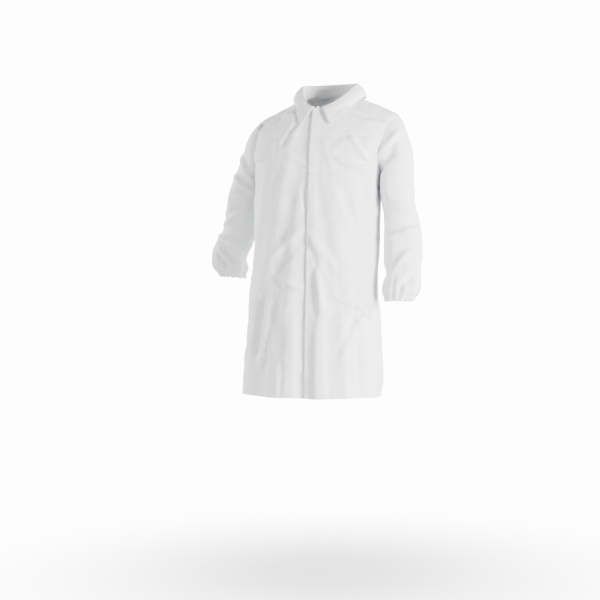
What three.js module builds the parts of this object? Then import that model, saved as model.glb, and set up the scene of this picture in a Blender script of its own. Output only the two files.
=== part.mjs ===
// Disposable lab coat, worn shape. Units are millimetres, +Z is up, the coat faces -Y and the
// wearer's left is +X. The origin is the centre of the neck opening at shoulder-neck height.
// Every panel is a thin shell that follows one lofted garment surface.
import * as THREE from "three";

// ---------------------------------------------------------------- driving dimensions
const CLOTH = 1.5; // shell thickness of every cloth panel
const GAP = 0.5; // clearance between neighbouring pieces
const HEM_Z = -968; // bottom edge
const UNDERARM_Z = -215; // bottom of both armholes
const NOTCH = new THREE.Vector3(-10, -92, -35); // where the collar ends meet
const SHOULDER_NECK = 78; // half width of the neck opening at the shoulder seams
const BACK_NECK = new THREE.Vector3(0, 62, 10);
const ARMHOLE_DEPTH = 68; // half depth of an armhole, front to back
const OVERLAP = 17; // each front passes the centre line by this much
const HEM_WIDTH = 24;
const SEAM_WIDTH = 12;
const SQUARENESS = 2.4; // superellipse power of the body's sections
const SNAP_Z = [-48, -237, -438, -637];
const SNAP_R = 5.6;
const FRONT_STEP = 8.4; // how far the right front lies behind the left one at the closure
const STEP_START = 62; // distance from the centre line where that step begins
const SLEEVE_SIDES = 20;
const CUFF_HEIGHT = 17;

// height, x of the left side seam, x of the right side seam, front depth, back depth
const BODY = [
  [-968, 175, -291, -170, 150],
  [-870, 177, -285, -167, 147],
  [-760, 167, -273, -164, 143],
  [-630, 152, -264, -160, 138],
  [-500, 160, -252, -157, 134],
  [-335, 164, -246, -152, 130],
  [-215, 168, -242, -140, 124],
];
const SHOULDER = {
  left: new THREE.Vector3(220, 15, -52),
  right: new THREE.Vector3(-220, 15, -52),
};

// Sleeve rings: outer x, outer z, inner x, inner z, middle y, half depth
const LEFT_SLEEVE = [
  [222, -53, 170, -215, 8, 68],
  [249, -107, 170, -233, 9, 70],
  [268, -165, 170, -258, 10, 70],
  [275, -240, 170, -292, 10, 68],
  [277, -330, 178, -345, 10, 66],
  [290, -395, 184, -400, 8, 64],
  [303, -465, 184, -465, 6, 62],
  [305, -556, 186, -556, 0, 60],
  [300, -625, 180, -628, -5, 58],
  [285, -646, 188, -648, -8, 46],
];
const RIGHT_SLEEVE = [
  [-222, -53, -243, -215, 8, 68],
  [-258, -95, -246, -228, 12, 70],
  [-284, -142, -249, -246, 20, 70],
  [-313, -205, -255, -268, 34, 68],
  [-360, -288, -262, -316, 52, 66],
  [-386, -362, -278, -376, 72, 64],
  [-404, -420, -292, -432, 86, 62],
  [-441, -487, -322, -500, 100, 60],
  [-452, -540, -330, -552, 111, 58],
  [-436, -562, -340, -570, 115, 46],
];
const ELBOW_RING = 4; // the forearm starts at this ring
const CUFF_DROP = 0.82; // the cuff's inner width as a share of the last ring

// ---------------------------------------------------------------- helpers
const v3 = (x, y, z) => new THREE.Vector3(x, y, z);
const lerp = THREE.MathUtils.lerp;
const range = (n) => Array.from({ length: n }, (_, i) => i);

function alongTable(rows, z, column) {
  const at = Math.max(0, rows.findIndex((r) => r[0] >= z) - 1);
  const low = rows[at];
  const high = rows[at + 1];
  return lerp(low[column], high[column], THREE.MathUtils.clamp((z - low[0]) / (high[0] - low[0]), 0, 1));
}

// One closed body from a grid of points. The grid is the outer face, which looks along
// (across x up the rows); the inner face lies `thickness` behind it, and a rim joins the two along
// every open edge. Points that coincide are one vertex. No cloth spans `cutColumn` to the next.
function shell(grid, thickness, { ring = false, lift = 0, cutColumn = -1 } = {}) {
  const cols = grid[0].length;
  const points = [];
  const known = new Map();
  const id = grid.map((row) => row.map((p) => {
    const key = [p.x, p.y, p.z].map((n) => n.toFixed(2)).join();
    if (!known.has(key)) known.set(key, points.push(p) - 1);
    return known.get(key);
  }));
  const quads = [];
  for (const i of range(grid.length - 1)) {
    for (const j of range(ring ? cols : cols - 1)) {
      const next = (j + 1) % cols;
      if (j !== cutColumn) quads.push([id[i][j], id[i][next], id[i + 1][next], id[i + 1][j]]);
    }
  }
  const normals = points.map(() => v3(0, 0, 0));
  const edges = new Set();
  for (const [a, b, c, d] of quads) {
    const face = points[c].clone().sub(points[a]).cross(points[d].clone().sub(points[b]));
    for (const corner of [a, b, c, d]) normals[corner].add(face);
    for (const edge of [[a, b], [b, c], [c, d], [d, a]]) edges.add(edge.join());
  }
  normals.forEach((n) => n.normalize());
  const layer = (depth) => points.map((p, i) => p.clone().addScaledVector(normals[i], depth));
  const flat = [...layer(lift), ...layer(lift - thickness)].flatMap((p) => [p.x, p.y, p.z]);
  const behind = points.length;
  const index = [];
  const fill = (a, b, c, d) => index.push(a, b, c, a, c, d);
  for (const [a, b, c, d] of quads) {
    fill(a, b, c, d);
    fill(d + behind, c + behind, b + behind, a + behind);
  }
  for (const [a, b] of [...edges].map((e) => e.split(",").map(Number))) {
    if (!edges.has(`${b},${a}`)) fill(b, a, a + behind, b + behind);
  }
  const geometry = new THREE.BufferGeometry();
  geometry.setAttribute("position", new THREE.Float32BufferAttribute(flat, 3));
  geometry.setIndex(index);
  return geometry;
}

const steps = (n, from = 0, to = 1) => range(n + 1).map((i) => lerp(from, to, i / n));
const root = new THREE.Group();

function colour(kind) {
  const looks = {
    cloth: [0xf2f2f0, 0.85],
    elastic: [0xe9e6de, 0.8],
    snap: [0xf6f6f4, 0.35],
    label: [0xfafafa, 0.7],
  };
  const [tint, roughness] = looks[kind];
  return new THREE.MeshStandardMaterial({ color: tint, roughness, metalness: 0 });
}

function add(name, geometry, kind = "cloth") {
  const mesh = new THREE.Mesh(geometry, colour(kind));
  mesh.name = name;
  root.add(mesh);
  return mesh;
}

// ---------------------------------------------------------------- the garment surface
const sign = (side) => (side === "left" ? 1 : -1);
const sideX = (side, z) => alongTable(BODY, z, side === "left" ? 1 : 2);
const edgeX = (side) => NOTCH.x - sign(side) * OVERLAP;

// Height parameter v: -1 at the hem, 0 at the underarm, 1 at the shoulder seam.
const heightOf = (v) => lerp(HEM_Z, UNDERARM_Z, v + 1);
const paramOf = (z) => (z - HEM_Z) / (UNDERARM_Z - HEM_Z) - 1;

function armhole(side, v, face) {
  const low = v3(sideX(side, UNDERARM_Z), 0, UNDERARM_Z);
  const p = low.lerp(SHOULDER[side], v);
  p.y += face * ARMHOLE_DEPTH * 2 * Math.sqrt(Math.max(0, v * (1 - v)));
  return p;
}

const NECK_TURN = { front: 0.56, back: 0.74 }; // v at which the centre line meets the neckline

function centreLine(side, v, face) {
  const front = face < 0;
  const turn = front ? NECK_TURN.front : NECK_TURN.back;
  const top = front ? v3(edgeX(side), NOTCH.y, NOTCH.z) : BACK_NECK.clone();
  if (v <= turn) {
    const z = v <= 0 ? heightOf(v) : lerp(UNDERARM_Z, top.z, v / turn);
    const low = Math.min(z, UNDERARM_Z);
    const rise = Math.max(0, v / turn);
    const middle = (sideX("left", low) + sideX("right", low)) / 2;
    const depth = alongTable(BODY, low, front ? 3 : 4);
    const x = front ? edgeX(side) : middle;
    return v3(lerp(x, top.x, rise), lerp(depth, top.y, rise ** 1.3), z);
  }
  const turnAngle = ((v - turn) / (1 - turn)) * (Math.PI / 2);
  const out = Math.sin(turnAngle);
  const in_ = Math.cos(turnAngle);
  return v3(lerp(top.x, sign(side) * SHOULDER_NECK, out), top.y * in_, top.z * in_ ** 1.3);
}

// angle 0 is at the side seam or armhole, and a quarter turn is at the centre line
function bodyPoint(side, face, v, angle) {
  const outer = v <= 0 ? v3(sideX(side, heightOf(v)), 0, heightOf(v)) : armhole(side, v, face);
  const inner = centreLine(side, v, face);
  const power = 2 / lerp(SQUARENESS, 1.15, Math.max(0, v));
  const forward = Math.sin(angle) ** power;
  const inward = 1 - Math.cos(angle) ** power;
  const upward = 1 - (1 - inward) ** lerp(2, 1, Math.max(0, v));
  return v3(
    lerp(outer.x, inner.x, inward),
    lerp(outer.y, inner.y, forward),
    lerp(outer.z, inner.z, upward),
  );
}

// the right front steps back behind the left one near the closure
function frontPoint(side, v, angle) {
  const p = bodyPoint(side, -1, v, angle);
  if (side === "right") {
    const near = THREE.MathUtils.smoothstep(p.x, NOTCH.x - STEP_START, edgeX("left") - 8);
    p.y += near * FRONT_STEP;
  }
  return p;
}

const QUARTER = Math.PI / 2;

// column angles: the facing takes the last four, so that it lies flat behind its panel
const FACING_COLUMNS = 4;
const FRONT_ANGLES = [...steps(6, 0.02, 1.12), 1.35, 1.42, 1.5, QUARTER];
const BACK_ANGLES = steps(8, 0.004, QUARTER);
const LOWER_ROWS = BODY.map(([z]) => paramOf(z));
const SPLIT_V = 0.012; // the chest starts this far above the swinging fronts
const TOP_V = 0.996;
const CHEST_ROWS = [...steps(4, SPLIT_V, NECK_TURN.front - 0.03), ...steps(3, NECK_TURN.front, TOP_V)];

function frontGrid(side, heights, angles) {
  const across = side === "left" ? [...angles].reverse() : angles;
  return heights.map((v) => across.map((a) => frontPoint(side, v, a)));
}

// both halves of the back, with the centre line twice: the halves part above the neckline
function backGrid(heights, angles) {
  return heights.map((v) => [
    ...angles.map((a) => bodyPoint("left", 1, v, a)),
    ...[...angles].reverse().map((a) => bodyPoint("right", 1, v, a)),
  ]);
}
const backShell = (heights, angles, place) => shell(backGrid(heights, angles), CLOTH, {
  ...place,
  cutColumn: angles.length - 1,
});

function chestY(side, x, z) {
  const near = { gap: Infinity, y: 0 };
  for (const v of steps(60, -0.3, 1)) {
    for (const a of steps(60, 0, QUARTER)) {
      const p = frontPoint(side, v, a);
      const gap = Math.hypot(p.x - x, p.z - z);
      if (gap < near.gap) {
        near.gap = gap;
        near.y = p.y;
      }
    }
  }
  return near.y;
}

// ---------------------------------------------------------------- body panels
function fronts() {
  for (const side of ["left", "right"]) {
    add(`${side}_front_yoke`, shell(frontGrid(side, CHEST_ROWS, FRONT_ANGLES), CLOTH));
    add(`${side}_front_skirt`, shell(frontGrid(side, LOWER_ROWS, FRONT_ANGLES), CLOTH));
  }
}

function back() {
  const chest = steps(4, 0, NECK_TURN.back).slice(1);
  const shoulder = steps(3, NECK_TURN.back, TOP_V).slice(1);
  add("back_panel", backShell([...LOWER_ROWS, ...chest, ...shoulder], BACK_ANGLES));
}

// strips turned in behind each front edge
function facings() {
  const angles = FRONT_ANGLES.slice(-FACING_COLUMNS);
  const behind = { lift: -(CLOTH + 2 * GAP) };
  for (const side of ["left", "right"]) {
    const chest = frontGrid(side, CHEST_ROWS.slice(0, 5), angles);
    add(`${side}_facing_upper`, shell(chest, CLOTH, behind));
    add(`${side}_facing_lower`, shell(frontGrid(side, LOWER_ROWS, angles), CLOTH, behind));
  }
}

// ---------------------------------------------------------------- hems and seams
function hems() {
  const behind = { lift: -(CLOTH + 2 * GAP) };
  const rows = [paramOf(HEM_Z), paramOf(HEM_Z + HEM_WIDTH)];
  const angles = FRONT_ANGLES.slice(1, -FACING_COLUMNS);
  for (const side of ["left", "right"]) {
    add(`${side}_front_hem`, shell(frontGrid(side, rows, angles), CLOTH, behind));
  }
  add("back_hem", backShell(rows, BACK_ANGLES.slice(1), behind));
}

const SEAM_INSET = 4.2;
function sideSeams() {
  for (const side of ["left", "right"]) {
    const grid = BODY.map(([z]) => {
      const across = side === "left" ? [1, 1 + SEAM_WIDTH] : [1 + SEAM_WIDTH, 1];
      return across.map((y) => v3(sideX(side, z) - sign(side) * SEAM_INSET, y, z));
    });
    add(`${side}_side_seam`, shell(grid, CLOTH));
  }
}

const SHOULDER_DROP = 4.5; // seam strip's depth below the shoulder ridge
function shoulderSeams() {
  for (const side of ["left", "right"]) {
    const inner = v3(sign(side) * SHOULDER_NECK, 0, 0);
    const outer = SHOULDER[side];
    const along = outer.clone().sub(inner).normalize();
    const down = v3(0, 1, 0).cross(along).normalize();
    if (down.z > 0) down.negate();
    const width = down.clone().cross(along);
    const strip = new THREE.BoxGeometry(inner.distanceTo(outer) - 30, SEAM_WIDTH, CLOTH + 0.5);
    strip.applyMatrix4(new THREE.Matrix4().makeBasis(along, width, down));
    const at = inner.clone().lerp(outer, 0.5).addScaledVector(down, SHOULDER_DROP);
    const mesh = add(`${side}_shoulder_seam`, strip);
    mesh.position.copy(at);
  }
}

// ---------------------------------------------------------------- sleeves
function sleeveRing(side, k) {
  const rings = side === "left" ? LEFT_SLEEVE : RIGHT_SLEEVE;
  const low = Math.min(Math.floor(k), rings.length - 2);
  const [ox, oz, ix, iz, y, depth] = rings[low].map((n, c) => lerp(n, rings[low + 1][c], k - low));
  const centre = v3((ox + ix) / 2, y, (oz + iz) / 2);
  const out = v3(ox, y, oz).sub(centre);
  return range(SLEEVE_SIDES).map((j) => {
    const turn = (-sign(side) * j * 2 * Math.PI) / SLEEVE_SIDES;
    const p = centre.clone().addScaledVector(out, Math.cos(turn));
    p.y += depth * Math.sin(turn);
    return p;
  });
}

const SPLIT_RING = 0.02; // half the gap between two sleeve pieces, in ring spacings
const ELASTIC_INSET = 3; // from either edge of the casing
const ELASTIC_THICKNESS = 1.2;

function sleeves() {
  for (const side of ["left", "right"]) {
    const tube = (from, to, n) => steps(n, from, to).map((k) => sleeveRing(side, k));
    const ring = { ring: true };
    const [top, elbow] = [SPLIT_RING + 0.01, ELBOW_RING];
    add(`${side}_sleeve_upper`, shell(tube(top, elbow - SPLIT_RING, 5), CLOTH, ring));
    add(`${side}_sleeve_lower`, shell(tube(elbow + SPLIT_RING, 8, 5), CLOTH, ring));
    const wrist = sleeveRing(side, 9);
    const middle = wrist.reduce((a, p) => a.add(p), v3(0, 0, 0)).divideScalar(wrist.length);
    const axis = middle.clone().sub(
      sleeveRing(side, 8).reduce((a, p) => a.add(p), v3(0, 0, 0)).divideScalar(wrist.length),
    ).normalize();
    const band = (at, scale) => wrist.map((p) => p.clone().sub(middle).multiplyScalar(scale)
      .add(middle).addScaledVector(axis, at));
    const rim = sleeveRing(side, 8.06);
    add(`${side}_cuff_casing`, shell([rim, band(0, 1), band(CUFF_HEIGHT, CUFF_DROP)], CLOTH, ring));
    const inside = { ring: true, lift: -(CLOTH + GAP + 0.5) };
    const strip = [band(ELASTIC_INSET, 0.95), band(CUFF_HEIGHT - ELASTIC_INSET, CUFF_DROP * 1.04)];
    add(`${side}_wrist_elastic`, shell(strip, ELASTIC_THICKNESS, inside), "elastic");
  }
}

// ---------------------------------------------------------------- collar
const FOLD_HALF_WIDTH = 90;
const POINT_TURN = (120 * Math.PI) / 180; // the collar points start this far round from the back
const COLLAR_END = (172 * Math.PI) / 180;
const POINT_DROP = 58; // how far a collar point hangs below the notch
const POINT_SPREAD = 47;
const LEAF_EDGE = [119, 98, 96, -8, -4, -58]; // half width, back, front, then the three heights
const COLLAR_CLOTH = 1.2;
const STAND_SHARE = 0.94; // of the way up to the fold
const LEAF_EASE = 3; // how far the leaf clears the stand
const LEAF_ROLL = 7; // and how far it bellies out
const POINT_EASE = 7; // how far a collar point clears the chest

function neckRound(turn, wide, backDepth, frontDepth, zBack, zSide, zFront) {
  const c = Math.cos(turn);
  const front = Math.max(0, -c);
  return v3(
    wide * Math.sin(turn) + NOTCH.x * front ** 3,
    c > 0 ? backDepth * c : frontDepth * c,
    c > 0 ? lerp(zSide, zBack, c) : lerp(zSide, zFront, front ** 1.5),
  );
}
const neckline = (turn) => neckRound(turn, SHOULDER_NECK - 5, 57, 81, 12, 3, NOTCH.z + 1);
const fold = (turn) => neckRound(turn, FOLD_HALF_WIDTH, 85, 99, 50, 37, NOTCH.z + 6);
const leafEdge = (turn) => neckRound(turn, ...LEAF_EDGE);

function pointHinge(side) {
  const near = fold(Math.PI).add(v3(sign(side) * 3, -4, -3));
  const far = leafEdge(sign(side) * POINT_TURN);
  return { near, far };
}

function collar() {
  const turns = steps(28, -COLLAR_END, COLLAR_END).reverse();
  const stand = [0, 0.5, 1].map((t) => turns.map((a) => neckline(a).lerp(fold(a), t * STAND_SHARE)));
  add("collar_stand", shell(stand, COLLAR_CLOTH));
  const lower = (a) => {
    if (Math.abs(a) <= POINT_TURN) return leafEdge(a);
    const { near, far } = pointHinge(a > 0 ? "left" : "right");
    return far.lerp(near, (Math.abs(a) - POINT_TURN) / (COLLAR_END - POINT_TURN));
  };
  const roll = (a, t) => fold(a).lerp(lower(a), t).add(
    v3(Math.sin(a), Math.cos(a), 0).multiplyScalar(LEAF_EASE + LEAF_ROLL * Math.sin(Math.PI * t)),
  );
  const leaf = steps(4).reverse().map((t) => turns.map((a) => roll(a, t)));
  add("collar_leaf", shell(leaf, COLLAR_CLOTH));
  for (const side of ["left", "right"]) {
    const { near, far } = pointHinge(side);
    const tipX = NOTCH.x + sign(side) * POINT_SPREAD;
    const tipZ = NOTCH.z - POINT_DROP;
    const tip = v3(tipX, chestY(side, tipX, tipZ) - POINT_EASE - 1, tipZ);
    const shoulderEnd = tip.clone().lerp(far, 0.12);
    const rows = steps(4, 0.04, 1).map((t) => steps(5, 0.03, 0.97).map((s) => {
      const top = near.clone().lerp(far, s);
      const bottom = tip.clone().lerp(shoulderEnd, s);
      const p = top.lerp(bottom, t);
      p.y = Math.min(p.y - LEAF_EASE, chestY(side, p.x, p.z) - POINT_EASE);
      return p;
    }));
    const grid = side === "left" ? rows.reverse() : rows.reverse().map((r) => r.reverse());
    add(`${side}_collar_point`, shell(grid, COLLAR_CLOTH));
  }
}

const TAPE_INSET = 0.95;
const TAPE_WIDTH = 9;
const LABEL = [34, 1, 26];

function neckTrim() {
  const turns = steps(12, -1.25, 1.25).reverse();
  const edge = (lift) => turns.map((a) => {
    const p = neckline(a);
    return v3(p.x * TAPE_INSET, p.y * TAPE_INSET, p.z + lift);
  });
  add("neck_tape", shell([edge(1), edge(1 + TAPE_WIDTH)], 1));
  const label = new THREE.BoxGeometry(...LABEL);
  add("neck_label", label, "label").position.set(0, BACK_NECK.y - 10, BACK_NECK.z - 22);
}

// ---------------------------------------------------------------- snaps
function turned(profile) {
  const points = profile.map(([r, y]) => new THREE.Vector2(r, y));
  return new THREE.LatheGeometry([...points, points[0]], 16);
}

const INNER_R = SNAP_R - 0.4; // of the parts between the two layers
const SNAP_GAP = 0.3; // clear of the cloth
const SNAP_LIFT = 0.4; // for the slope of the cloth under a cap
const SOCKET_LIFT = 0.9;

// profiles as [radius, distance outwards], from the cloth face outwards
const CAP = [[0, 0], [SNAP_R, 0], [SNAP_R, 1], [SNAP_R - 1.6, 1.9], [0, 2.1]];
const SOCKET = [[2.1, 0], [INNER_R, 0], [INNER_R, 1.3], [2.1, 1.3]];
const STUD = [[0, 0], [INNER_R, 0], [INNER_R, 0.8], [1.7, 0.8], [1.5, 2.4], [0, 2.4]];
const RING = [[2.6, 0], [SNAP_R - 0.2, 0], [SNAP_R - 0.2, 1], [2.6, 1]];

function snaps() {
  SNAP_Z.forEach((z, i) => {
    const on = centreLine("left", paramOfCentre(z), -1);
    const slope = on.clone().sub(centreLine("left", paramOfCentre(z - 10), -1));
    on.y += SNAP_LIFT;
    const tilt = -Math.atan2(slope.y, slope.z);
    const inward = v3(0, Math.cos(tilt), Math.sin(tilt));
    const place = (name, profile, depth, outwards) => {
      const mesh = add(`${name}_${i + 1}`, turned(profile), "snap");
      mesh.rotation.x = tilt + (outwards ? Math.PI : 0);
      mesh.position.set(NOTCH.x, on.y, z).addScaledVector(inward, depth);
    };
    const faced = 2 * (CLOTH + GAP) + 0.2; // the depth of the front and its facing
    place("snap_cap", CAP, -GAP, true);
    place("snap_socket", SOCKET, faced + SOCKET_LIFT, false);
    place("snap_stud", STUD, FRONT_STEP - GAP - SNAP_GAP, true);
    place("snap_ring", RING, FRONT_STEP + faced + SNAP_GAP, false);
  });
}

function paramOfCentre(z) {
  if (z <= UNDERARM_Z) return paramOf(z);
  return (NECK_TURN.front * (z - UNDERARM_Z)) / (NOTCH.z - UNDERARM_Z);
}

fronts();
back();
facings();
hems();
sideSeams();
shoulderSeams();
sleeves();
collar();
neckTrim();
snaps();

export default root;
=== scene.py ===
"""Looks of a disposable nonwoven lab coat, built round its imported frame. Metres, +Z up, the coat
faces -Y. The panels are lofted, draped once over a stand-in figure by cloth simulation, then
cut into pieces, seamed and finished."""
import math

import bpy
import numpy as np
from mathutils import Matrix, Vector, noise


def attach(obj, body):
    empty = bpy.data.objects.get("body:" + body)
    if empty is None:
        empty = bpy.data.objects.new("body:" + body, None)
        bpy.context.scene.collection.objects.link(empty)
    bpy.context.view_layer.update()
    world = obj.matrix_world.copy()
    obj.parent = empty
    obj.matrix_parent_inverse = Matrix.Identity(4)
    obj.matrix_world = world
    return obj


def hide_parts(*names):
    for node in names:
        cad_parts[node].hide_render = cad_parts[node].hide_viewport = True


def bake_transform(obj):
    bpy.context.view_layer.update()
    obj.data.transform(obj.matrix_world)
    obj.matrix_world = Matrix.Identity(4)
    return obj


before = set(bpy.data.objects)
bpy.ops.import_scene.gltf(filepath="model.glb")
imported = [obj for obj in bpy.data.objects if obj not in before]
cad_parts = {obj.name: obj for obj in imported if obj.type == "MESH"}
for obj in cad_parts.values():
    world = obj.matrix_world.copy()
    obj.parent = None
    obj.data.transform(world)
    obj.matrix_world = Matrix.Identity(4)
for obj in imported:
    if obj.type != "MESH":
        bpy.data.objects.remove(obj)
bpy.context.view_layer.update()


# the view of the photo, 18 degrees towards the wearer's left
CAMERA_SPOT = (1.206, -4.024, -0.66)
CAMERA_AIM = (-0.092, -0.030, -0.66)
CAMERA_LENS = (77.5, 36)  # focal length and sensor width in mm


def aim(obj, target):
    way = Vector(target) - obj.location
    obj.rotation_mode = "QUATERNION"
    obj.rotation_quaternion = way.to_track_quat("-Z", "Y")


camera = bpy.data.objects.new("camera", bpy.data.cameras.new("camera"))
bpy.context.scene.collection.objects.link(camera)
camera.location = CAMERA_SPOT
aim(camera, CAMERA_AIM)
camera.data.lens, camera.data.sensor_width = CAMERA_LENS
camera.data.dof.use_dof = False
bpy.context.scene.camera = camera

# ------------------------------------------------------------------ driving dimensions
HEM_Z = -0.968
UNDERARM_Z = -0.215
NOTCH = np.array([-0.010, -0.094, -0.050])
CLOSURE_X = -0.027  # free edge of the left front
CLOSURE_SWAY = 0.008  # and how far it leans to the right at the hem
SHOULDER_NECK = 0.078
BACK_NECK = np.array([0.0, 0.062, 0.010])
SNAP_Z = (-0.048, -0.237, -0.438, -0.637)
FRONT_TURN, BACK_TURN = 0.56, 0.74  # height parameter at which a centre line meets the neckline

# a figure of the coat: height, left side x, right side x, front depth, back depth
COAT = {
    "body": [
        (HEM_Z, 0.175, -0.291, -0.170, 0.150),
        (-0.870, 0.177, -0.285, -0.167, 0.147),
        (-0.760, 0.167, -0.273, -0.164, 0.143),
        (-0.630, 0.152, -0.264, -0.160, 0.138),
        (-0.500, 0.160, -0.252, -0.157, 0.134),
        (-0.335, 0.164, -0.246, -0.152, 0.130),
        (UNDERARM_Z, 0.168, -0.242, -0.140, 0.124),
    ],
    "tip": (0.220, 0.015, -0.062),
    "neck": SHOULDER_NECK,
    "armhole": 0.068,
    "notch": NOTCH,
    "nape": BACK_NECK,
    "centre": CLOSURE_X,
    "lift": 0.0,
}
# the stand-in figure that the cloth falls on
FIGURE = {
    "body": [
        (HEM_Z - 0.10, 0.105, -0.215, -0.100, 0.085),
        (-0.870, 0.120, -0.230, -0.118, 0.105),
        (-0.720, 0.125, -0.238, -0.128, 0.125),
        (-0.600, 0.115, -0.226, -0.122, 0.118),
        (-0.450, 0.095, -0.190, -0.108, 0.095),
        (-0.330, 0.125, -0.205, -0.128, 0.105),
        (UNDERARM_Z, 0.140, -0.212, -0.128, 0.108),
    ],
    "tip": (0.208, 0.015, -0.072),
    "neck": SHOULDER_NECK - 0.004,
    "armhole": 0.056,
    "notch": NOTCH + np.array([0, 0.012, -0.004]),
    "nape": BACK_NECK + np.array([0, -0.008, -0.006]),
    "centre": -0.010,
    "lift": -0.009,
}
# sleeve rings: outer x, outer z, inner x, inner z, middle y, half depth
LEFT_SLEEVE = [
    (0.249, -0.107, 0.170, -0.233, 0.009, 0.070),
    (0.268, -0.165, 0.170, -0.258, 0.010, 0.070),
    (0.275, -0.240, 0.170, -0.292, 0.010, 0.068),
    (0.277, -0.330, 0.178, -0.345, 0.010, 0.066),
    (0.290, -0.395, 0.184, -0.400, 0.008, 0.064),
    (0.303, -0.465, 0.184, -0.465, 0.006, 0.062),
    (0.305, -0.556, 0.186, -0.556, 0.000, 0.060),
    (0.300, -0.625, 0.180, -0.628, -0.005, 0.058),
    (0.285, -0.646, 0.188, -0.648, -0.008, 0.046),
]
RIGHT_SLEEVE = [
    (-0.258, -0.095, -0.246, -0.228, 0.012, 0.070),
    (-0.284, -0.142, -0.249, -0.246, 0.020, 0.070),
    (-0.313, -0.205, -0.255, -0.268, 0.034, 0.068),
    (-0.360, -0.288, -0.262, -0.316, 0.052, 0.066),
    (-0.386, -0.362, -0.278, -0.376, 0.072, 0.064),
    (-0.404, -0.420, -0.292, -0.432, 0.086, 0.062),
    (-0.441, -0.487, -0.322, -0.500, 0.100, 0.060),
    (-0.452, -0.540, -0.330, -0.552, 0.111, 0.058),
    (-0.436, -0.562, -0.340, -0.570, 0.115, 0.046),
]
SLEEVES = {"left": LEFT_SLEEVE, "right": RIGHT_SLEEVE}
SIDES = ("left", "right")
AXIS_X = -0.04  # middle of the body
COLUMNS = 24  # across each half of the front or back
LOWER_ROWS = 56
UPPER_ROWS = 18
SLEEVE_ROWS = 44


def sign(side):
    return 1 if side == "left" else -1


# ------------------------------------------------------------------ curves
def ramp(low, high, value):
    t = np.clip((value - low) / (high - low), 0, 1)
    return t * t * (3 - 2 * t)


def smooth_table(rows, at):
    """Catmull-Rom values of every column after the first, at heights `at` of the first."""
    rows = np.array(rows)
    k = np.clip(np.searchsorted(rows[:, 0], at, side="right") - 1, 0, len(rows) - 2)
    pick = lambda n: rows[np.clip(n, 0, len(rows) - 1), 1:]
    t = ((at - rows[k, 0]) / (rows[k + 1, 0] - rows[k, 0]))[:, None].clip(0, 1)
    a, b, c, d = pick(k - 1), pick(k), pick(k + 1), pick(k + 2)
    return b + t * (c - a) / 2 + t * t * (a - 2.5 * b + 2 * c - d / 2) \
        + t ** 3 * (1.5 * (b - c) + (d - a) / 2)


def resample(points, count):
    """`count` points at equal steps along each row of points."""
    out = []
    for row in points:
        run = np.concatenate([[0], np.linalg.norm(np.diff(row, axis=0), axis=1).cumsum()])
        at = np.linspace(0, run[-1], count)
        out.append(np.stack([np.interp(at, run, row[:, k]) for k in range(3)], axis=1))
    return np.array(out)


def centre_line(shape, side, face, v):
    """The inner end of each row: up the centre line, then round the neckline."""
    turn = FRONT_TURN if face < 0 else BACK_TURN
    top = np.array(shape["notch"] if face < 0 else shape["nape"], float)
    points = []
    for value in v:
        if value <= turn:
            z = lower_height(value) if value <= 0 else \
                UNDERARM_Z + (top[2] - UNDERARM_Z) * value / turn
            left, right, front, back = smooth_table(shape["body"], np.array([min(z, UNDERARM_Z)]))[0]
            rise = max(0.0, value / turn)
            sway = CLOSURE_SWAY * ramp(-0.20, HEM_Z, z)
            x = shape["centre"] - sway if face < 0 else (left + right) / 2 * (1 - rise)
            depth = front if face < 0 else back
            points.append((x, depth + (top[1] - depth) * rise ** 1.3, z))
        else:
            angle = (value - turn) / (1 - turn) * math.pi / 2
            out, in_ = math.sin(angle), max(0.0, math.cos(angle))
            x = shape["centre"] if face < 0 else 0.0
            end = sign(side) * shape["neck"]
            points.append((x + (end - x) * out, top[1] * in_,
                           shape["lift"] + (top[2] - shape["lift"]) * in_ ** 1.3))
    return np.array(points)


def lower_height(v):
    return HEM_Z + (UNDERARM_Z - HEM_Z) * (v + 1)


def outer_line(shape, side, face, v):
    """The outer end of each row: up the side seam, then round the armhole to the shoulder tip."""
    z = lower_height(np.minimum(v, 0))
    table = smooth_table(shape["body"], z)
    x = table[:, 0] if side == "left" else table[:, 1]
    line = np.stack([x, np.zeros(len(v)), z], axis=1)
    up = np.clip(v, 0, 1)[:, None]
    tip = np.array(shape["tip"]) * [sign(side), 1, 1]
    line += up * (tip - line) * (v > 0)[:, None]
    bow = face * shape["armhole"] * 2 * np.sqrt(up[:, 0] * (1 - up[:, 0]))
    line[:, 1] += bow
    return line


def panel(shape, side, face, v, columns):
    """A quarter of the body as rows of points, from the outer line to the centre line."""
    outer, inner = outer_line(shape, side, face, v), centre_line(shape, side, face, v)
    angle = np.linspace(0, math.pi / 2, 4 * columns)[None, :]
    up = np.clip(v, 0, 1)[:, None]
    power = 2 / (2.4 + (1.15 - 2.4) * up)
    forward = np.sin(angle) ** power
    inward = 1 - np.abs(np.cos(angle)) ** power
    upward = 1 - (1 - inward) ** (2 - up)
    mix = lambda k, share: outer[:, k, None] + (inner - outer)[:, k, None] * share
    rows = np.stack([mix(0, inward), mix(1, forward), mix(2, upward)], axis=2)
    return resample(rows, columns + 1)


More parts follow.
